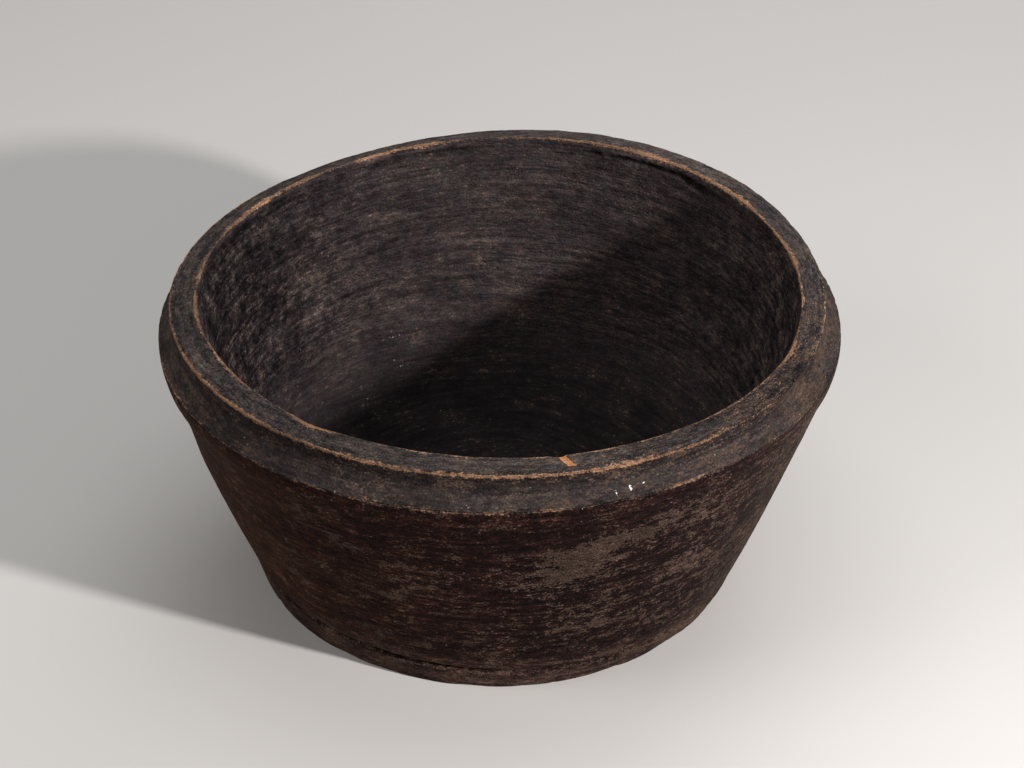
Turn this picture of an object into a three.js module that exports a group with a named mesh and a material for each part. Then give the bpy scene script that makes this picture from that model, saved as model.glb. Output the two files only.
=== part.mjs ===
// A lathe-turned wooden bowl: a flat foot, a flared wall and a collared rim.
// Millimetres, z up. The bowl stands on z = 0 and turns about the z axis.

import * as THREE from "three";

// Driving dimensions
const bowlHeight = 127.5; // to the crest of the lip
const collarRadius = 140; // the widest point, on the collar's arris
const footRadius = 101;
const footHeight = 11.5; // up to the incised line
const collarBase = 104; // height of the step under the collar
const floorHeight = 18; // inside, above the surface that the bowl stands on
const facets = 64; // sides of each turned surface, a multiple of four

// Outside of the wall
const wallFootRadius = 105.8;
const wallTopRadius = 138;
const wallBelly = 1; // how far the wall swells past a straight cone
const incisedDepth = 1.1;
const incisedHalfWidth = 0.7;
const footEdge = 1.6; // the worn edge that the foot stands on

// Inside of the bowl
const mouthRadius = 123.6;
const insideLean = 0.22; // how far the inside comes in for each millimetre down
const insideCorner = 45; // radius between the inside wall and the floor

// Collar and lip
const arrisHeight = 113;
const collarStep = 1.1; // how far the collar stands proud of the wall
const lipRadius = 134.6;
const lipFall = 1.6; // the lip slopes down from its inner edge to its outer edge
const lipRound = 0.9; // the softened edges of the lip
const hollowDepth = 3.4; // how far the hollow moulding's curve is drawn in under the lip
const hollowHeight = 118.5; // where the hollow moulding is drawn in

const at = (radius, height) => new THREE.Vector2(radius, height);

// The inside wall is a straight taper that meets the floor in a round corner.
const lean = Math.atan(insideLean);
const cornerHeight = floorHeight + insideCorner;
const taperRadius = (height) => mouthRadius - insideLean * (bowlHeight - height);
const cornerRadius = taperRadius(cornerHeight) - insideCorner / Math.cos(lean);

function insideCurve() {
  const corner = new THREE.EllipseCurve(
    cornerRadius, cornerHeight, insideCorner, insideCorner, -lean, -Math.PI / 2, true,
  );
  return corner.getPoints(8);
}

function outsideCurve() {
  const lowest = footHeight + incisedHalfWidth;
  const middle = at((wallFootRadius + wallTopRadius) / 2 + 2 * wallBelly, (lowest + collarBase) / 2);
  const wall = new THREE.QuadraticBezierCurve(
    at(wallFootRadius, lowest), middle, at(wallTopRadius, collarBase),
  );
  return wall.getPoints(6);
}

function turned(name, outline, finish) {
  const geometry = new THREE.LatheGeometry(outline, facets);
  geometry.rotateX(Math.PI / 2);
  const mesh = new THREE.Mesh(geometry, new THREE.MeshStandardMaterial(finish));
  mesh.name = name;
  return mesh;
}

// The foot carries the floor, which stands up inside the wall as a low round plateau.
function foot() {
  const outline = [
    at(0, 0),
    at(footRadius - footEdge / 2, 0),
    at(footRadius + footEdge / 2, footEdge),
    at(wallFootRadius - incisedHalfWidth / 2, footHeight - incisedHalfWidth),
    at(wallFootRadius - incisedDepth, footHeight),
    at(cornerRadius, footHeight),
    at(cornerRadius, floorHeight),
    at(0, floorHeight),
  ];
  return turned("foot", outline, { color: "#3a2c26", roughness: 0.85, metalness: 0 });
}

// The wall is an open ring. Its round inside corner dies into the floor's edge.
function bodyWall() {
  const outline = [
    at(cornerRadius, footHeight),
    at(wallFootRadius - incisedDepth, footHeight),
    ...outsideCurve(),
    at(taperRadius(collarBase), collarBase),
    ...insideCurve(),
    at(cornerRadius, footHeight),
  ];
  return turned("body_wall", outline, { color: "#2e211c", roughness: 0.75, metalness: 0 });
}

// The collar is a rounded band under an arris, then a hollow moulding under the sloping lip.
function rimCollar() {
  const arris = at(collarRadius, arrisHeight);
  const lipEdge = at(lipRadius, bowlHeight - lipFall - lipRound);
  const band = new THREE.QuadraticBezierCurve(
    at(wallTopRadius + collarStep, collarBase),
    at(collarRadius, (collarBase + arrisHeight) / 2),
    arris,
  );
  const hollow = new THREE.QuadraticBezierCurve(
    arris, at(lipRadius - hollowDepth, hollowHeight), lipEdge,
  );
  const outline = [
    at(taperRadius(collarBase), collarBase),
    ...band.getPoints(4),
    ...hollow.getPoints(8).slice(1),
    at(lipRadius - lipRound, bowlHeight - lipFall),
    at(mouthRadius + lipRound, bowlHeight),
    at(taperRadius(bowlHeight - lipRound), bowlHeight - lipRound),
    at(taperRadius(collarBase), collarBase),
  ];
  return turned("rim_collar", outline, { color: "#403b39", roughness: 0.8, metalness: 0 });
}

const bowl = new THREE.Group();
bowl.add(foot(), bodyWall(), rimCollar());

export default bowl;
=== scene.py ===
import math

import bpy
import numpy as np
from mathutils import Matrix, Vector


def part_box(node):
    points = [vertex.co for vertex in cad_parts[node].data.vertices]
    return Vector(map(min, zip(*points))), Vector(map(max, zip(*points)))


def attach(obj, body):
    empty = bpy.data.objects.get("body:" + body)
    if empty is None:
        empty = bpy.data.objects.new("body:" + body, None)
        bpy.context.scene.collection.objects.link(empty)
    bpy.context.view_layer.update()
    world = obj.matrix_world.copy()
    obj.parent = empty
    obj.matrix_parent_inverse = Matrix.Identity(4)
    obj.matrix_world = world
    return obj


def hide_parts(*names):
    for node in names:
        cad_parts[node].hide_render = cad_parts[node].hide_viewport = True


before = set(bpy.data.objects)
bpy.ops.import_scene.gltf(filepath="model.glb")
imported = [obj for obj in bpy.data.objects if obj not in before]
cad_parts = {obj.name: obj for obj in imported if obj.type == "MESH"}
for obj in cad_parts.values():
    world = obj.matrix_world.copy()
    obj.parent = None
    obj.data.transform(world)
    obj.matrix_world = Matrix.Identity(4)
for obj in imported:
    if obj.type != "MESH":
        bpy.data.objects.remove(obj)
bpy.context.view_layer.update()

# Lengths are in millimetres and angles in degrees, until a mesh, light or camera is made.
# Azimuths run from +X towards +Y, and the camera is at the front.
MM = 0.001
FRONT = -90
RIGHT = 0
BACK = 90
LEFT = 180


# ================================================================ sizes

FOOT_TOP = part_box("foot")[1] / MM
WALL_LOW, WALL_HIGH = (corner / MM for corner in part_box("body_wall"))
RIM_LOW, RIM_HIGH = (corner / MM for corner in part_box("rim_collar"))

HEIGHT = RIM_HIGH.z  # to the crest of the lip
COLLAR = RIM_HIGH.x  # radius of the arris, the widest line
FLOOR = FOOT_TOP.z  # inside
FOOT_SEAM = WALL_LOW.z  # the incised line
RIM_SEAM = RIM_LOW.z  # the step under the collar
WALL_TOP = WALL_HIGH.x

# The mouldings, as they are turned
FOOT = 101  # radius of the edge that it stands on
WALL_FOOT = 105.8  # radius of the wall just above the incised line
WALL_BELLY = 1  # how far the wall swells out, halfway up
INCISED = 1.9  # depth of the incised line
MOUTH = 123.6  # radius of the inner edge of the lip
INSIDE_LEAN = 0.22  # how far the inner wall leans out for each millimetre up
CORNER = 45  # radius of the round corner between the floor and the inner wall
ARRIS_HEIGHT = 113
STEP = 0.7  # how far the collar stands out over the wall
LIP = 134.6  # radius of the outer edge of the lip
LIP_FALL = 1.6  # how far that edge is below the mouth
HOLLOW = 3.4  # how far the curve between lip and arris is pulled in from the lip
HOLLOW_HEIGHT = 118.5  # where it is pulled

CORNER_HEIGHT = FLOOR + CORNER
LEAN = math.atan(INSIDE_LEAN)
PLATEAU = MOUTH - INSIDE_LEAN * (HEIGHT - CORNER_HEIGHT) - CORNER / math.cos(LEAN)

SIDES = 720  # points round each ring
AZIMUTHS = np.linspace(-180, 180, SIDES, endpoint=False)
CURVE_POINTS = 500  # points in each stretch of the outline, before it is rubbed
EDGE_WEAR = 0.45  # how far the corners of the outline are rubbed round


# ================================================================ noise and soft steps

# In blobs and streaks below, the last number is a seed: each use has its own.
rng = np.random.default_rng(7)
SHUFFLE = rng.permutation(256)
SLOPES = rng.normal(size=(256, 3))
SLOPES /= np.linalg.norm(SLOPES, axis=1, keepdims=True)


def noise(x, y, z, seed):
    """Gradient noise, from about -1 to 1, with features about one unit across."""
    seed_stride = 17
    full_range = 1.7
    point = np.stack([x, y, z], axis=-1)
    cell = np.floor(point).astype(int)
    part = point - cell
    ease = part ** 3 * (part * (part * 6 - 15) + 10)
    total = np.zeros(point.shape[:-1])
    for corner in np.ndindex(2, 2, 2):
        at = cell + corner
        row = SHUFFLE[(at[..., 0] + seed_stride * seed) & 255]
        row = SHUFFLE[(row + at[..., 1]) & 255]
        row = SHUFFLE[(row + at[..., 2]) & 255]
        weight = np.prod(np.where(corner, ease, 1 - ease), axis=-1)
        total += weight * np.sum(SLOPES[row] * (part - corner), axis=-1)
    return full_range * total


def smooth(low, high, value):
    """0 below low, 1 above high, and a soft step between."""
    t = np.clip((value - low) / (high - low), 0, 1)
    return t * t * (3 - 2 * t)


def between(low, high, soft, value):
    """1 between low and high, falling to 0 over the distance soft outside them."""
    return smooth(low - soft, low, value) * (1 - smooth(high, high + soft, value))


def near(middle, width, value):
    """1 at middle, and a bell shape round it."""
    return np.exp(-(((value - middle) / width) ** 2))


def turn_from(azimuth, middle):
    """Degrees round the bowl from middle, between -180 and 180."""
    return (azimuth - middle + 180) % 360 - 180


def wave(azimuth, folds, height, peak):
    """A wave round the bowl, highest at peak."""
    return height * np.cos(np.radians(folds * (azimuth - peak)))


# ================================================================ the turned outline

def straight(a, b):
    t = np.linspace(0, 1, CURVE_POINTS)[:, None]
    return (1 - t) * np.array(a) + t * np.array(b)


def bent(a, pull, b):
    t = np.linspace(0, 1, CURVE_POINTS)[:, None]
    return (1 - t) ** 2 * np.array(a) + 2 * t * (1 - t) * np.array(pull) + t ** 2 * np.array(b)


def round_corner():
    turn = np.linspace(-math.pi / 2, -LEAN, CURVE_POINTS)
    return np.stack([PLATEAU + CORNER * np.cos(turn), CORNER_HEIGHT + CORNER * np.sin(turn)], axis=1)


CORNER_END = tuple(round_corner()[-1])
MOUTH_EDGE = (MOUTH, HEIGHT)
LIP_EDGE = (LIP, HEIGHT - LIP_FALL)
ARRIS = (COLLAR, ARRIS_HEIGHT)
STEP_EDGE = (WALL_TOP + STEP, RIM_SEAM)
WALL_EDGE = (WALL_TOP, RIM_SEAM)
GROOVE_TOP = (WALL_FOOT, FOOT_SEAM + INCISED)
GROOVE = (WALL_FOOT - INCISED, FOOT_SEAM)
GROOVE_FOOT = (WALL_FOOT - INCISED / 2, FOOT_SEAM - INCISED)
FOOT_EDGE = (FOOT, 0)


def turned_outline():
    """From the middle of the floor, up the inside, over the lip and down to the middle of the underside."""
    hollow = (LIP - HOLLOW, HOLLOW_HEIGHT)
    band = (COLLAR, (RIM_SEAM + ARRIS_HEIGHT) / 2)
    belly = ((WALL_FOOT + WALL_TOP) / 2 + 2 * WALL_BELLY, (FOOT_SEAM + RIM_SEAM) / 2)
    return np.concatenate([
        straight((0, FLOOR), (PLATEAU, FLOOR)),
        round_corner(),
        straight(CORNER_END, MOUTH_EDGE),
        straight(MOUTH_EDGE, LIP_EDGE),
        bent(LIP_EDGE, hollow, ARRIS),
        bent(ARRIS, band, STEP_EDGE),
        straight(STEP_EDGE, WALL_EDGE),
        bent(WALL_EDGE, belly, GROOVE_TOP),
        straight(GROOVE_TOP, GROOVE),
        straight(GROOVE, GROOVE_FOOT),
        straight(GROOVE_FOOT, FOOT_EDGE),
        straight(FOOT_EDGE, (0, 0)),
    ])


def lengths(points):
    return np.concatenate([[0], np.cumsum(np.linalg.norm(np.diff(points, axis=0), axis=1))])


def rubbed(points):
    """The same outline, in steps of a tenth of a millimetre, with its corners rubbed round."""
    fine = 0.1
    length = lengths(points)
    places = np.linspace(0, length[-1], int(length[-1] / fine))
    reach = int(4 * EDGE_WEAR / fine)
    kernel = near(0, EDGE_WEAR * math.sqrt(2), fine * np.arange(-reach, reach + 1))
    kernel /= kernel.sum()
    columns = []
    for column in points.T:
        even = np.interp(places, length, column)
        padded = np.pad(even, reach, mode="reflect", reflect_type="odd")
        columns.append(np.convolve(padded, kernel, mode="valid"))
    return np.stack(columns, axis=1)


OUTLINE = rubbed(turned_outline())
ALONG = lengths(OUTLINE)
ALONG -= ALONG[np.argmin(np.linalg.norm(OUTLINE - MOUTH_EDGE, axis=1))]
TANGENT = np.gradient(OUTLINE, ALONG, axis=0)
NORMAL = np.stack([-TANGENT[:, 1], TANGENT[:, 0]], axis=1)


def place_of(point):
    """How far along the outline the nearest place to a point is: 0 at the mouth, and less than 0 inside."""
    return ALONG[np.argmin(np.linalg.norm(OUTLINE - point, axis=1))]


FLOOR_MIDDLE = ALONG[0]
AT_PLATEAU = place_of((PLATEAU, FLOOR))
AT_RIM_SEAM = place_of((MOUTH - INSIDE_LEAN * (HEIGHT - RIM_SEAM), RIM_SEAM))
AT_LIP = place_of(LIP_EDGE)
AT_ARRIS = place_of(ARRIS)
AT_STEP = place_of(WALL_EDGE)
AT_GROOVE = place_of(GROOVE)
AT_FOOT = place_of(FOOT_EDGE)
UNDER_MIDDLE = ALONG[-1]


# ================================================================ the surface

class Surface:
    """A stretch of the bowl's skin: rings of points, one ring at each of some places along the outline."""

    def __init__(self, places):
        self.along, self.azimuth = np.meshgrid(places, AZIMUTHS, indexing="ij")
        self.radius, self.height = (np.interp(self.along, ALONG, column) for column in OUTLINE.T)
        self.out, self.up = (np.interp(self.along, ALONG, column) for column in NORMAL.T)
        self.x = self.radius * np.cos(np.radians(self.azimuth))
        self.y = self.radius * np.sin(np.radians(self.azimuth))
        self.inside = self.along < 0

    def blobs(self, size, seed):
        return noise(self.x / size, self.y / size, self.height / size, seed)

    def streaks(self, length, width, seed):
        """Noise drawn out round the bowl, as turning and rubbing leave it."""
        return noise(self.x / length, self.y / length, self.along / width, seed)

    def round_about(self, middle, width):
        """1 at an azimuth, and a bell shape round it."""
        return near(0, width, turn_from(self.azimuth, middle))

    def spot(self, azimuth, height, width, depth):
        """A bell-shaped spot on the outside or the inside."""
        return self.round_about(azimuth, width) * near(height, depth, self.height)


def warp(s):
    """How far each point is out of true, outward and upward, because the wood moved as it dried."""
    az = s.azimuth

    # The folds, height and peak of each wave round the bowl
    rim_up = wave(az, 1, 0.75, 20) + wave(az, 2, 1.4, 53) + wave(az, 3, 0.6, -55)
    mouth_out = wave(az, 1, 0.9, 5) + wave(az, 2, 0.9, 72) + wave(az, 3, 0.3, -30)
    lip_out = wave(az, 1, 1.2, 5) + wave(az, 2, 2.0, 52) + wave(az, 3, 0.9, -51)
    collar_out = wave(az, 1, 0.6, RIGHT) + wave(az, 2, 0.6, 50) + wave(az, 3, 0.6, -13)
    collar_up = wave(az, 1, 1.7, RIGHT)
    groove_up = wave(az, 1, 2.4, LEFT)
    foot_out = 0.3 + wave(az, 1, 2.0, FRONT)
    drawn_in = 1.8 * s.round_about(LEFT, 50) * near(AT_STEP + 14, 16, s.along)

    # Where one gives way to the next
    up_inside = smooth(FLOOR, HEIGHT, s.height)
    lip_to_arris = smooth(AT_LIP, AT_ARRIS, s.along)
    crest = smooth(0, AT_LIP, s.along)
    down_wall = smooth(AT_STEP, AT_GROOVE, s.along)
    under = smooth(AT_GROOVE, AT_FOOT, s.along)
    bottom = smooth(AT_FOOT, UNDER_MIDDLE, s.along)

    out = mouth_out * (1 - crest) + lip_out * crest
    out = out * (1 - lip_to_arris) + collar_out * lip_to_arris
    out = out * (1 - down_wall) + foot_out * down_wall - drawn_in
    out *= 1 - bottom
    up = rim_up * (1 - lip_to_arris) + collar_up * lip_to_arris
    up = up * (1 - down_wall) + groove_up * down_wall
    up *= 1 - under
    out = np.where(s.inside, mouth_out * up_inside, out)
    up = np.where(s.inside, rim_up * up_inside, up)
    return out, up


def torn(s):
    """Where the wood is rough: inside, on two opposite sides, and on a flaky part of the lip."""
    sides = np.maximum(s.round_about(172, 42), 0.75 * s.round_about(-5, 34))
    wall = smooth(FLOOR + 12, FLOOR + 45, s.height) * (1 - smooth(-5, -1, s.along))
    flaky = 0.45 * s.round_about(-34, 20) * between(1.5, AT_LIP - 1.5, 1, s.along)
    return np.where(s.inside, sides * wall, flaky)


# The worn places round the two edges of the lip: azimuth, width in degrees, and extra wear
MOUTH_WORN = (
    (154, 8, 0.35), (134, 6, 0.3), (110, 7, 0.55), (58, 13, 0.9), (33, 7, 0.5),
    (12, 6, 0.4), (-22, 4, 0.7), (-123, 4, 0.9), (-170, 22, 0.15),
)
LIP_WORN = ((-62, 16, 0.5), (-95, 12, 0.35), (-30, 12, 0.3), (-125, 14, 0.2))


def worn_more(s, wear, worn_places):
    """The wear with more of it at each worn place."""
    for middle, width, amount in worn_places:
        wear = wear + amount * s.round_about(middle, width)
    return np.maximum(wear, 0)


def mouth_wear(s):
    """How far the inner edge of the lip is worn away, round the bowl."""
    return worn_more(s, 0.20 + 0.20 * s.blobs(14, 21), MOUTH_WORN)


def lip_wear(s):
    """How far the outer edge of the lip is worn away, round the bowl."""
    return worn_more(s, 0.38 + 0.25 * s.blobs(11, 22), LIP_WORN)


CHIP_AZIMUTH = -77.7
CHIP_START = 123  # the radii that it runs between
CHIP_END = 130
CHIP_LEAN = 0.2  # degrees for each millimetre outward
CHIP_MIDDLE = 128  # the radius at which it is at its azimuth


def front_chip(s):
    """The one clean chip, on the front of the lip: it leans, and starts with a thin sliver at the mouth."""
    ragged = s.blobs(2.2, 23)
    turn = turn_from(s.azimuth, CHIP_AZIMUTH) - CHIP_LEAN * (s.radius - CHIP_MIDDLE) + 0.3 * ragged
    flake = between(-0.3, 0.6, 0.45, turn) * between(CHIP_START, CHIP_END, 0.8, s.radius + 0.5 * ragged)
    at_mouth = between(CHIP_START, CHIP_START + 1.3, 0.6, s.radius + 0.4 * ragged)
    sliver = between(-1.4, 0.3, 0.5, turn) * at_mouth
    return np.maximum(flake, 0.8 * sliver) * between(-1.0, AT_LIP, 0.4, s.along)


LEDGE_DROP = 4.8  # from the mouth


def ledge(s):
    """A torn line just under the mouth, at the back."""
    line = HEIGHT - LEDGE_DROP + 1.4 * s.blobs(9, 24) + 0.7 * s.blobs(2.6, 25)
    width = between(46, 70, 5, s.azimuth) + 0.6 * between(98, 120, 5, s.azimuth)
    depth = smooth(-0.9, 0.1, s.blobs(5, 26))
    return np.where(s.inside, width * depth * near(line, 1.2, s.height), 0)


def relief(s):
    """How far the surface stands proud of the turned outline, in millimetres."""
    swell = 0.3 * s.blobs(42, 1)
    ridges = 0.10 * s.streaks(55, 5, 2) + 0.06 * s.streaks(25, 2.2, 3)
    inside_ridges = 0.16 * s.streaks(60, 3.5, 4)
    rough = torn(s) * (0.55 * s.blobs(12, 5) + 0.42 * s.blobs(5, 6) + 0.16 * s.blobs(2.5, 7))
    dents = -0.25 * smooth(0.35, 0.8, s.blobs(7, 8)) * ~s.inside
    crumbs_and_glints = 0.5 + 0.5 * s.blobs(2.4, 9)
    worn = mouth_wear(s)
    mouth = 0.8 * worn * near(0, 0.8 + worn, s.along) * (0.7 + 0.6 * crumbs_and_glints)
    lip = lip_wear(s) * near(AT_LIP, 1.3, s.along) * (0.6 + 0.8 * crumbs_and_glints)
    arris = 0.35 * near(AT_ARRIS, 1.1, s.along) * crumbs_and_glints
    groove = 0.5 * near(AT_GROOVE, 1.2, s.along) * (0.4 + s.blobs(9, 10))
    foot = 0.5 * near(AT_FOOT, 1.5, s.along) * smooth(-0.2, 0.8, s.blobs(16, 11))
    total = swell + ridges + np.where(s.inside, inside_ridges, 0) + rough + dents
    total -= mouth + lip + arris + groove + foot
    total -= 0.7 * front_chip(s) + 1.6 * ledge(s)
    return total * (1 - smooth(AT_FOOT, AT_FOOT + 4, s.along))


def bare(s):
    """How far the pale wood shows at the edges, 0 to 1."""
    worn = mouth_wear(s)
    mouth = near(0.1 + 0.8 * worn, 0.6 + 1.4 * worn, s.along) * smooth(-0.25, 0.6, worn)
    lip = near(AT_LIP + 0.1, 1.3, s.along) * smooth(-0.3, 0.5, lip_wear(s))
    arris = 0.55 * near(AT_ARRIS, 0.7, s.along) * (0.8 + 0.6 * s.blobs(12, 31))
    arris += 0.3 * near(AT_ARRIS, 0.9, s.along) * s.round_about(-58, 5)
    crest = 0.25 * between(1, AT_LIP - 1, 1, s.along) * s.round_about(-28, 18)
    smeared = np.maximum(s.round_about(-66, 8), s.round_about(-50, 3))
    smear = 0.55 * near(AT_LIP - 0.8, 2.0, s.along) * smeared
    right = between(-46, 50, 10, s.azimuth)
    lip = np.maximum(lip * (1 - 0.5 * right), smear)
    arris = arris * (1 - 0.75 * between(-52, 40, 8, s.azimuth))
    return np.clip(np.maximum.reduce([mouth, lip, arris, crest]), 0, 1)


# Where the coat has rubbed off the wall, or stayed on where the last number is below 0:
# azimuth, height, width in degrees, depth in millimetres, and how much more has gone
RUBBED_SPOTS = (
    (-78.5, 80, 4, 9, 0.7), (-74, 77, 4.5, 10, 0.6), (-71, 88, 6, 5, 0.65), (-65.5, 91, 5, 4, 0.5),
    (-82, 71, 5, 5, 0.25), (-84, 66, 4, 4, 0.2), (-57, 93, 8, 5, 0.22), (-52, 66, 9, 14, 0.16),
    (-70, 45, 13, 14, 0.17), (-88, 30, 14, 8, 0.10), (-67, 77, 3.5, 4, -0.25), (-61, 74, 4, 6, -0.15),
    (-87, 76, 5, 14, -0.08), (-117, 85.5, 1.6, 3, 0.7), (-114.5, 83, 1.2, 2.5, 0.5),
    (-108, 57, 2.5, 3, 0.45), (-98, 70, 4, 6, 0.12),
)


def taupe(s):
    """How far the dark coat has rubbed off the taupe wood under it, 0 to 1."""
    turn = turn_from(s.azimuth, FRONT)
    wall = 0.13 + 0.13 * smooth(0, 45, turn)
    for azimuth, height, width, depth, amount in RUBBED_SPOTS:
        wall = wall + amount * s.spot(azimuth, height, width, depth)
    groove = 0.3 * near(AT_GROOVE + 1.2, 1.2, s.along)
    inside = 0.04 * torn(s) - 0.10
    crest = 0.20 + 0.32 * s.round_about(-32, 22)
    hollow = 0.22 + 0.1 * smooth(-10, 40, turn)
    # Painted shade: less taupe on the band under the arris, and on the wall just under the collar away from
    # the right, so both look shaded
    hollow = hollow - 0.18 * between(AT_ARRIS + 1, AT_STEP, 1, s.along)
    shaded_under_collar = (1 - smooth(AT_STEP, AT_STEP + 9, s.along)) * (1 - smooth(10, 40, turn))
    wall = wall - 0.12 * shaded_under_collar
    total = np.where(s.along > AT_STEP, wall + groove, np.where(s.along > AT_LIP, hollow, crest))
    return np.where(s.inside, inside, total)


def mottle(s):
    """How strongly the coat's tone and relief vary from spot to spot."""
    turn = turn_from(s.azimuth, FRONT)
    wall = 0.75 + 0.45 * smooth(-50, -10, turn) - 0.30 * smooth(20, 50, turn)
    inside = 0.42 + 0.20 * smooth(FLOOR + 5, FLOOR + 45, s.height) + 0.45 * torn(s)
    crest = 0.82 + 0.1 * s.round_about(-33, 25)
    hollow = 0.55
    total = np.where(s.along > AT_ARRIS, wall, np.where(s.along > AT_LIP + 1, hollow, crest))
    return np.where(s.inside, inside, total)


# The bare wood at the edges, and the dark coat on each part of the bowl
WORN_EDGE = (0.25, 0.137, 0.080)
INSIDE_COAT = (0.0385, 0.0297, 0.0298)
TORN_COAT = (0.0140, 0.0111, 0.0121)
DEEP_COAT = (0.0185, 0.0148, 0.0158)
CREST_COAT = (0.0455, 0.0385, 0.0365)
HOLLOW_COAT = (0.0205, 0.0156, 0.0150)
# Painted light: the lower part of the hollow faces up, and is painted lighter than the rest of the hollow
LIT_HOLLOW_COAT = (0.0375, 0.0300, 0.0280)
BAND_COAT = (0.0145, 0.0062, 0.0056)
WALL_COAT = (0.0116, 0.0049, 0.0045)
RIGHT_COAT = (0.0300, 0.0188, 0.0147)
BROWN_COAT = (0.060, 0.0410, 0.0300)
LEFT_COAT = (0.0290, 0.0096, 0.0045)
FOOT_COAT = (0.043, 0.0240, 0.0195)


def coat(s):
    """The dark coat's colour, which drifts from part to part, with painted light on the lower hollow and a
    painted reflection on the back of the lip.
    """
    lit_lower_hollow = between(AT_LIP + 8.5, AT_ARRIS - 0.5, 4, s.along + 0.8 * s.blobs(8, 33))
    left_wall = s.round_about(-150, 42) * smooth(AT_ARRIS, AT_ARRIS + 4, s.along)
    right_wall = between(-30, 15, 22, s.azimuth) * smooth(AT_ARRIS - 1, AT_ARRIS + 2, s.along)
    brown = s.round_about(-22, 20) * between(AT_LIP + 3, AT_ARRIS, 2, s.along)

    # Each coat over the ones before it, and how far it covers them
    layers = (
        (TORN_COAT, 0.9 * torn(s) * s.round_about(155, 60)),
        (DEEP_COAT, 1 - smooth(FLOOR + 1, FLOOR + 34, s.height)),
        (CREST_COAT, smooth(-0.5, 0.5, s.along)),
        (HOLLOW_COAT, smooth(AT_LIP - 0.5, AT_LIP + 1, s.along)),
        (LIT_HOLLOW_COAT, lit_lower_hollow),
        (BAND_COAT, smooth(AT_ARRIS, AT_ARRIS + 1, s.along)),
        (WALL_COAT, smooth(AT_STEP - 1, AT_STEP + 1, s.along)),
        (LEFT_COAT, left_wall),
        (RIGHT_COAT, 0.7 * right_wall),
        (BROWN_COAT, 0.8 * brown * smooth(-0.4, 0.4, s.blobs(13, 35))),
        (FOOT_COAT, smooth(AT_GROOVE - 14, AT_GROOVE + 1, s.along)),
    )
    colour = np.zeros(s.along.shape + (3,)) + np.array(INSIDE_COAT)
    for layer, cover in layers:
        colour = colour * (1 - cover[..., None]) + np.array(layer) * cover[..., None]

    # Pale crusts in the torn wood, a painted reflection making the lip lighter at the back, and a darker lip
    # at the right front
    crust = s.spot(137, 66, 3, 5) + s.spot(153, 67, 4, 5) + 0.7 * s.spot(138, 114, 5, 4)
    lighter = 0.8 * np.where(s.inside, crust, 0)
    lighter += 0.5 * s.round_about(75, 50) * between(0, AT_LIP + 1, 1, s.along)
    lighter -= 0.25 * s.round_about(-38, 26) * between(0, AT_LIP - 1, 1, s.along)

    # Darker in the incised line and in the ledge, and dark marks just over the arris
    dark = 0.7 * near(AT_GROOVE, 1.1, s.along) + 0.75 * ledge(s)
    dark += 0.6 * near(AT_ARRIS - 1.3, 0.7, s.along) * smooth(0, 0.6, s.blobs(3, 34))
    return colour * ((1 + lighter) * (1 - np.clip(dark, 0, 1)))[..., None]


# The painted glints on the lower part of the hollow: azimuth, height, and how bright
GLINT_SPOTS = (
    (-70.4, 115, 0.9), (-67.9, 115.6, 1.1), (-65.6, 116, 0.8), (-62.8, 117, 0.6),
    (-90, 115, 0.4), (-94, 114.6, 0.5), (-98, 115, 0.3), (-84, 115, 0.3),
)


def painted_glint(s):
    """Painted glints on the lower part of the hollow, and two painted highlights inside."""
    crumbs_and_glints = np.zeros(s.along.shape)
    for azimuth, height, brightness in GLINT_SPOTS:
        crumbs_and_glints = np.maximum(crumbs_and_glints, brightness * s.spot(azimuth, height, 0.5, 1.1))
    crumbs_and_glints = np.where(s.inside, 0, crumbs_and_glints)
    painted_scuff_highlights = 0.52 * np.maximum(s.spot(117, 43, 6, 1.5), 0.9 * s.spot(117, 31, 5, 1.5))
    return np.where(s.inside, painted_scuff_highlights, crumbs_and_glints)


def skin(places):
    """The finished rings at these places: their points in metres, and what each point's material needs."""
    s = Surface(places)
    out, up = warp(s)
    stand = relief(s)
    radius = s.radius + out + s.out * stand
    height = np.maximum(s.height + up + s.up * stand, 0)
    outward = np.stack([np.cos(np.radians(s.azimuth)), np.sin(np.radians(s.azimuth))], axis=-1)
    points = np.concatenate([radius[..., None] * outward, height[..., None]], axis=-1) * MM
    wobble = 1.5 * s.blobs(35, 41)
    return {
        "points": points,
        "grain": np.stack([s.x, s.y, s.along + wobble], axis=-1),
        "coat": coat(s),
        "bare": bare(s),
        "chip": front_chip(s),
        "mottle": mottle(s),
        "taupe": taupe(s),
        "torn": torn(s),
        "painted_glint": painted_glint(s),
    }


def hidden_ring(radius, height):
    """One ring where two pieces meet inside the wood, coloured as the middle of the floor is."""
    ring = skin([FLOOR_MIDDLE])
    turn = np.radians(AZIMUTHS)
    circle = np.stack([radius * np.cos(turn), radius * np.sin(turn), np.full(SIDES, height)], axis=-1)
    ring["points"] = circle[None] * MM
    return ring


def joined(*stretches):
    """Several stretches of rings as one."""
    return {key: np.concatenate([stretch[key] for stretch in stretches]) for key in stretches[0]}


def spaced(start, end, step):
    """Places from start to end along the outline, at most step apart."""
    return np.linspace(start, end, math.ceil(abs(end - start) / step) + 1)


# ================================================================ meshes

def add_layer(mesh, name, kind, field, values):
    """A named value at each point, for the material to read."""
    layer = mesh.attributes.new(name, kind, "POINT")
    layer.data.foreach_set(field, values.reshape(-1).astype(np.float32))


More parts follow.
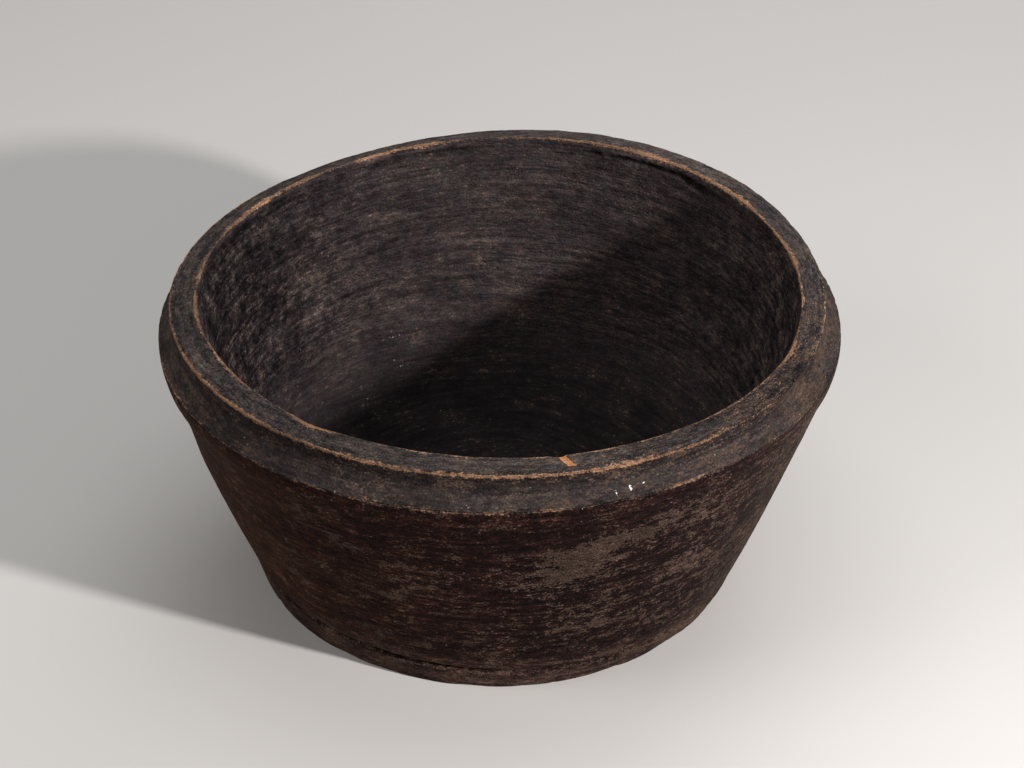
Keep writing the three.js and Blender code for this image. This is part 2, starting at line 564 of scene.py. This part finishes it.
def turned_piece(name, rings, seams, ends_on_axis, material):
    """
    A solid from rings of points, with a sharp edge along each ring in seams.
    It is closed by a flat end on its first and last rings, or else by joining the last ring to the first.
    """
    count = len(rings["points"])
    points = rings["points"].reshape(-1, 3)
    step = np.arange(SIDES)
    after = (step + 1) % SIDES
    last = count - 1 if ends_on_axis else count
    faces = []
    for ring in range(last):
        a = ring * SIDES
        b = (ring + 1) % count * SIDES
        faces.append(np.stack([a + step, a + after, b + after, b + step], axis=1))
    faces = np.concatenate(faces).tolist()
    if ends_on_axis:
        faces.append(step[::-1].tolist())
        faces.append(((count - 1) * SIDES + step).tolist())
    mesh = bpy.data.meshes.new(name)
    mesh.from_pydata(points.tolist(), [], faces)
    mesh.shade_smooth()
    add_layer(mesh, "grain", "FLOAT_VECTOR", "vector", rings["grain"])
    for key in ("bare", "chip", "mottle", "taupe", "torn", "painted_glint"):
        add_layer(mesh, key, "FLOAT", "value", rings[key])
    opaque = np.ones((len(points), 1))
    colours = np.concatenate([rings["coat"].reshape(-1, 3), opaque], axis=1)
    add_layer(mesh, "coat", "FLOAT_COLOR", "color", colours)
    ends = np.empty(2 * len(mesh.edges), int)
    mesh.edges.foreach_get("vertices", ends)
    ends = ends.reshape(-1, 2) // SIDES
    sharp = (ends[:, 0] == ends[:, 1]) & np.isin(ends[:, 0], seams)
    mesh.attributes.new("sharp_edge", "BOOLEAN", "EDGE").data.foreach_set("value", sharp)
    mesh.materials.append(material)
    mesh.validate()
    piece = bpy.data.objects.new(name, mesh)
    bpy.context.scene.collection.objects.link(piece)
    return piece


# ================================================================ materials

class Shader:
    """A material's node tree, written as nested calls."""

    def __init__(self, name):
        self.material = bpy.data.materials.new(name)
        self.material.use_nodes = True
        self.tree = self.material.node_tree
        self.tree.nodes.clear()

    def node(self, kind, settings=(), inputs=()):
        made = self.tree.nodes.new(kind)
        for key, value in dict(settings).items():
            setattr(made, key, value)
        for key, value in dict(inputs).items():
            if isinstance(value, bpy.types.NodeSocket):
                self.tree.links.new(value, made.inputs[key])
            else:
                made.inputs[key].default_value = value
        return made

    def attribute(self, name, output="Fac"):
        return self.node("ShaderNodeAttribute", {"attribute_name": name}).outputs[output]

    def math(self, operation, a, b=0.0):
        return self.node("ShaderNodeMath", {"operation": operation}, {0: a, 1: b}).outputs[0]

    def add(self, *terms):
        total = terms[0]
        for term in terms[1:]:
            total = self.math("ADD", total, term)
        return total

    def times(self, a, b):
        return self.math("MULTIPLY", a, b)

    def swing(self, value, amount):
        """A 0 to 1 value as a swing of that amount to either side of 0."""
        return self.math("MULTIPLY", self.math("SUBTRACT", value, 0.5), amount)

    def step(self, low, high, value):
        """0 below low, 1 above high, and a soft step between."""
        inputs = {"Value": value, "From Min": low, "From Max": high}
        return self.node("ShaderNodeMapRange", {"interpolation_type": "SMOOTHSTEP"}, inputs).outputs[0]

    def scaled(self, vector, scale):
        """A vector or colour times another, number by number."""
        return self.node("ShaderNodeVectorMath", {"operation": "MULTIPLY"}, {0: vector, 1: scale}).outputs[0]

    def place(self):
        """Each point's place in millimetres."""
        in_metres = self.node("ShaderNodeTexCoord").outputs["Object"]
        return self.scaled(in_metres, (1 / MM, 1 / MM, 1 / MM))

    def noise(self, vector, size, detail=4.0, roughness=0.6):
        """Noise from 0 to 1 with features of that size, or of three sizes, in millimetres."""
        sizes = size if isinstance(size, tuple) else (size, size, size)
        point = self.scaled(vector, tuple(1 / length for length in sizes))
        inputs = {"Vector": point, "Scale": 1.0, "Detail": detail, "Roughness": roughness}
        return self.node("ShaderNodeTexNoise", (), inputs).outputs["Fac"]

    def mix(self, share, a, b):
        made = self.node("ShaderNodeMix", {"data_type": "RGBA"}, {0: share, 6: a, 7: b})
        return made.outputs[2]

    def tinted(self, colour, brightness):
        made = self.node("ShaderNodeVectorMath", {"operation": "SCALE"}, {0: colour, "Scale": brightness})
        return made.outputs[0]

    def finish(self, colour, roughness, normal, specular):
        inputs = {
            "Base Color": colour,
            "Roughness": roughness,
            "Normal": normal,
            "Specular IOR Level": specular,
        }
        surface = self.node("ShaderNodeBsdfPrincipled", (), inputs)
        self.node("ShaderNodeOutputMaterial", (), {"Surface": surface.outputs[0]})
        return self.material


TAUPE_WOOD = (0.060, 0.0385, 0.0292)
FRESH_WOOD = (0.46, 0.205, 0.088)
# Near white for the painted glints and highlights, and for the specks of dust
GLINT_AND_DUST_WHITE = (0.75, 0.72, 0.68, 1)

PALE_GREY = (0.60, 0.58, 0.56)

# The tints that the coat drifts between
REDDER = (1.12, 1, 1, 1)
GREENER = (0.91, 1, 1, 1)
BLUER = (1, 1, 1.07, 1)
YELLOWER = (1, 1, 0.95, 1)

# How far red, green and blue each follow the coat's swings in brightness
RED_SHARE = 0.98
GREEN_SHARE = 1.0
BLUE_SHARE = 0.92


def dark_wood():
    """Wood under a dark coat that has rubbed through: streaks run round the bowl."""
    m = Shader("dark_wood")
    grain = m.attribute("grain", "Vector")
    place = m.place()
    rough = m.attribute("torn")
    mottle = m.attribute("mottle")

    # Drawn out round the bowl on grain, and as long as wide on place
    streak = m.noise(grain, (40, 40, 1.8), 4, 0.6)
    patch = m.noise(grain, (13, 13, 4.5), 4, 0.65)
    fleck = m.noise(grain, (5, 5, 2.2), 3, 0.6)
    dash = m.noise(grain, (2.6, 2.6, 0.9), 3, 0.6)
    grit = m.noise(place, 0.8, 2, 0.6)
    cloud = m.noise(place, 24, 4, 0.6)
    lump = m.noise(place, 3.5, 4, 0.6)
    bulge = m.noise(place, 12, 4, 0.6)
    tint = m.noise(grain, (6, 6, 2.5), 4, 0.75)

    # The dark coat
    swings = m.add(m.swing(grit, 3.4), m.swing(dash, 2.8), m.swing(fleck, 2.8), m.swing(patch, 2.5))
    swings = m.add(m.times(m.add(swings, m.swing(streak, 3.6)), mottle), m.swing(cloud, 1.5))
    swings = m.add(swings, m.times(rough, m.add(m.swing(lump, 4.0), m.swing(bulge, 4.0))))
    shares = enumerate((RED_SHARE, GREEN_SHARE, BLUE_SHARE))
    powers = {channel: m.math("EXPONENT", m.times(swings, share)) for channel, share in shares}
    bright = m.node("ShaderNodeCombineXYZ", (), powers).outputs[0]
    colour = m.scaled(m.attribute("coat", "Color"), bright)
    colour = m.scaled(colour, m.mix(m.step(0.38, 0.62, tint), REDDER, GREENER))
    colour = m.scaled(colour, m.mix(m.step(0.38, 0.62, bulge), BLUER, YELLOWER))

    # The taupe wood where the coat has rubbed off
    rubbed_off = m.add(m.attribute("taupe"), m.swing(patch, 2.0), m.swing(lump, 2.0), m.swing(dash, 1.2))
    rubbed_off = m.add(rubbed_off, m.swing(grit, 1.8), m.swing(streak, 0.7), m.swing(cloud, 0.9))
    middle = m.step(0.36, 0.66, rubbed_off)
    taupe_swings = m.add(m.swing(dash, 1.4), m.swing(grit, 2.6), m.swing(fleck, 1.2), m.swing(cloud, 1.2))
    colour = m.mix(m.times(middle, 0.9), colour, m.tinted(TAUPE_WOOD, m.math("EXPONENT", taupe_swings)))

    # The pale wood at the worn edges, and fresh wood in the chip
    cut = m.add(m.attribute("bare"), m.swing(fleck, 0.6), m.swing(dash, 0.8), m.swing(grit, 1.1))
    cut = m.step(0.26, 0.74, m.add(cut, m.swing(cloud, 0.5)))
    worn_swings = m.add(m.swing(dash, 1.6), m.swing(grit, 1.6), m.swing(cloud, 2.4))
    colour = m.mix(m.times(cut, 0.92), colour, m.tinted(WORN_EDGE, m.math("EXPONENT", worn_swings)))
    fresh = m.step(0.35, 0.60, m.add(m.attribute("chip"), m.swing(grit, 0.8)))
    colour = m.mix(fresh, colour, m.tinted(FRESH_WOOD, m.add(1.0, m.swing(dash, 0.6), m.swing(grit, 0.6))))

    # Painted glints and highlights, and fine dust all over
    glint = m.add(m.attribute("painted_glint"), m.swing(grit, 1.9), m.swing(dash, 0.9), -0.18)
    dust = m.step(0.88, 0.90, m.noise(place, 1.3, 0, 0.5))
    glint_and_dust = m.math("MAXIMUM", m.step(0.50, 0.70, glint), m.times(dust, 0.25))
    colour = m.mix(glint_and_dust, colour, GLINT_AND_DUST_WHITE)

    # How dull it is, and its fine relief
    dull = m.add(0.68, m.swing(streak, 0.4), m.swing(grit, 0.6), m.times(middle, 0.1), m.times(cut, 0.1))
    height = m.add(m.times(streak, 1.0), m.times(dash, 1.0), m.times(grit, 0.8), m.times(fleck, 1.1))
    height = m.times(height, m.add(mottle, 0.15))
    height = m.add(height, m.times(m.times(rough, lump), 2.4), m.times(middle, -0.10), m.times(cut, -0.08))
    bump = m.node("ShaderNodeBump", (), {"Strength": 1.0, "Distance": MM, "Height": height})
    return m.finish(colour, dull, bump.outputs[0], specular=0.035)


def pale_floor():
    """A plain pale floor, very slightly uneven in tone."""
    m = Shader("pale_floor")
    place = m.place()
    shade = m.add(1.0, m.swing(m.noise(place, 300, 3, 0.5), 0.04))
    normal = m.node("ShaderNodeNewGeometry").outputs["Normal"]
    return m.finish(m.tinted(PALE_GREY, shade), 0.9, normal, specular=0.2)


# ================================================================ the bowl

# The most that rings are apart, along each stretch of the outline
FLOOR_RINGS = 1.8
WALL_RINGS = 1.6
UNDER_LIP_RINGS = 0.85
LIP_RINGS = 0.5
FOOT_RINGS = 0.6
UNDERSIDE_RINGS = 4
LIP_START = -5  # where the lip's close rings start, inside the mouth
FLAT_END = 1  # radius of the flat ends that close the foot on its axis
UNDERSIDE_START = 3  # how far inside the foot's edge the wide rings start


def rim(material):
    """The collar and lip, down to the step outside and to the same height inside."""
    places = np.concatenate([
        spaced(AT_RIM_SEAM, LIP_START, UNDER_LIP_RINGS),
        spaced(LIP_START, AT_STEP, LIP_RINGS)[1:],
    ])
    rings = skin(places)
    seams = [0, len(places) - 1]
    return turned_piece("turned_rim", rings, seams, False, material)


def wall(material):
    """The flared wall, with the round corner inside it."""
    inside = spaced(AT_PLATEAU, AT_RIM_SEAM, WALL_RINGS)
    outside = spaced(AT_STEP, AT_GROOVE, WALL_RINGS)
    rings = joined(skin(np.concatenate([inside, outside])), hidden_ring(PLATEAU, FOOT_SEAM))
    hidden = len(inside) + len(outside)
    seams = [0, len(inside) - 1, len(inside), hidden - 1, hidden]
    return turned_piece("turned_wall", rings, seams, False, material)


def foot(material):
    """The foot, with the flat middle of the floor on top of it."""
    above = spaced(FLOOR_MIDDLE + FLAT_END, AT_PLATEAU, FLOOR_RINGS)
    underside = AT_FOOT + UNDERSIDE_START
    below = np.concatenate([
        spaced(AT_GROOVE, underside, FOOT_RINGS),
        spaced(underside, UNDER_MIDDLE - FLAT_END, UNDERSIDE_RINGS)[1:],
    ])
    rings = joined(skin(above), hidden_ring(PLATEAU, FOOT_SEAM), skin(below))
    hidden = len(above)
    seams = [hidden - 1, hidden, hidden + 1]
    return turned_piece("turned_foot", rings, seams, True, material)


# ================================================================ floor, light and camera

WARM_WHITE = (1, 0.98, 0.96)
COOL_WHITE = (0.97, 0.98, 1)
SKY_WHITE = (0.98, 0.99, 1)
SKY_STRENGTH = 0.12

# Each lamp's azimuth, elevation, distance in metres, size in metres, power in watts and colour
LAMPS = {
    "key": (-37.5, 25.6, 1.2, 0.07, 19, WARM_WHITE),
    "overhead": (BACK, 75, 1.6, 1.6, 9, COOL_WHITE),
    "left_fill": (-155, 36, 1.6, 0.8, 7.5, WARM_WHITE),
    "back_fill": (70, 28, 1.8, 1.2, 7, COOL_WHITE),
}


def studio_floor():
    """A square of floor under the bowl, with its size in metres."""
    half = 4
    mesh = bpy.data.meshes.new("studio_floor")
    corners = [(-half, -half, 0), (half, -half, 0), (half, half, 0), (-half, half, 0)]
    mesh.from_pydata(corners, [], [(0, 1, 2, 3)])
    mesh.materials.append(pale_floor())
    floor = bpy.data.objects.new("studio_floor", mesh)
    bpy.context.scene.collection.objects.link(floor)
    return floor


def toward(azimuth, elevation):
    """The direction from the bowl at these angles."""
    turn = math.radians(azimuth)
    rise = math.radians(elevation)
    return Vector((math.cos(turn) * math.cos(rise), math.sin(turn) * math.cos(rise), math.sin(rise)))


def soft_light(name, azimuth, elevation, distance, size, power, colour):
    """A round lamp that shines on the middle of the bowl."""
    light = bpy.data.lights.new(name, "AREA")
    light.shape = "DISK"
    light.size = size
    light.energy = power
    light.color = colour
    lamp = bpy.data.objects.new(name, light)
    direction = toward(azimuth, elevation)
    aim = Vector((0, 0, HEIGHT / 2)) * MM
    lamp.location = aim + direction * distance
    lamp.rotation_euler = direction.to_track_quat("Z", "Y").to_euler()
    bpy.context.scene.collection.objects.link(lamp)


def daylight(strength, colour):
    """Even light from all round."""
    world = bpy.data.worlds.new("daylight")
    world.use_nodes = True
    background = world.node_tree.nodes["Background"]
    background.inputs["Color"].default_value = (*colour, 1)
    background.inputs["Strength"].default_value = strength
    bpy.context.scene.world = world


def camera():
    """Looks down at the bowl from the front, with a slight roll."""
    elevation = 33.4
    distance = 1.09  # metres
    lens = 91.4
    sensor = 36
    roll = math.radians(1.0)
    aim = Vector((6.5, 0, 78)) * MM  # a little to the right of the axis, above the middle of the wall
    direction = toward(FRONT, elevation)
    right = Vector((1, 0, 0))
    up = direction.cross(right)
    across = math.cos(roll) * right + math.sin(roll) * up
    over = math.cos(roll) * up - math.sin(roll) * right
    data = bpy.data.cameras.new("camera")
    data.sensor_width = sensor
    data.lens = lens
    taken = bpy.data.objects.new("camera", data)
    turn = Matrix((across, over, direction)).transposed()
    taken.matrix_world = Matrix.Translation(aim + direction * distance) @ turn.to_4x4()
    bpy.context.scene.collection.objects.link(taken)
    bpy.context.scene.camera = taken


camera()
for lamp_name, lamp_settings in LAMPS.items():
    soft_light(lamp_name, *lamp_settings)
daylight(SKY_STRENGTH, SKY_WHITE)
bpy.context.scene.view_settings.view_transform = "Standard"
studio_floor()

wood = dark_wood()
for piece, node, slot in (
    (foot(wood), "foot", "foot_wood"),
    (wall(wood), "body_wall", "wall_wood"),
    (rim(wood), "rim_collar", "rim_wood"),
):
    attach(piece, "root")
    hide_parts(node)
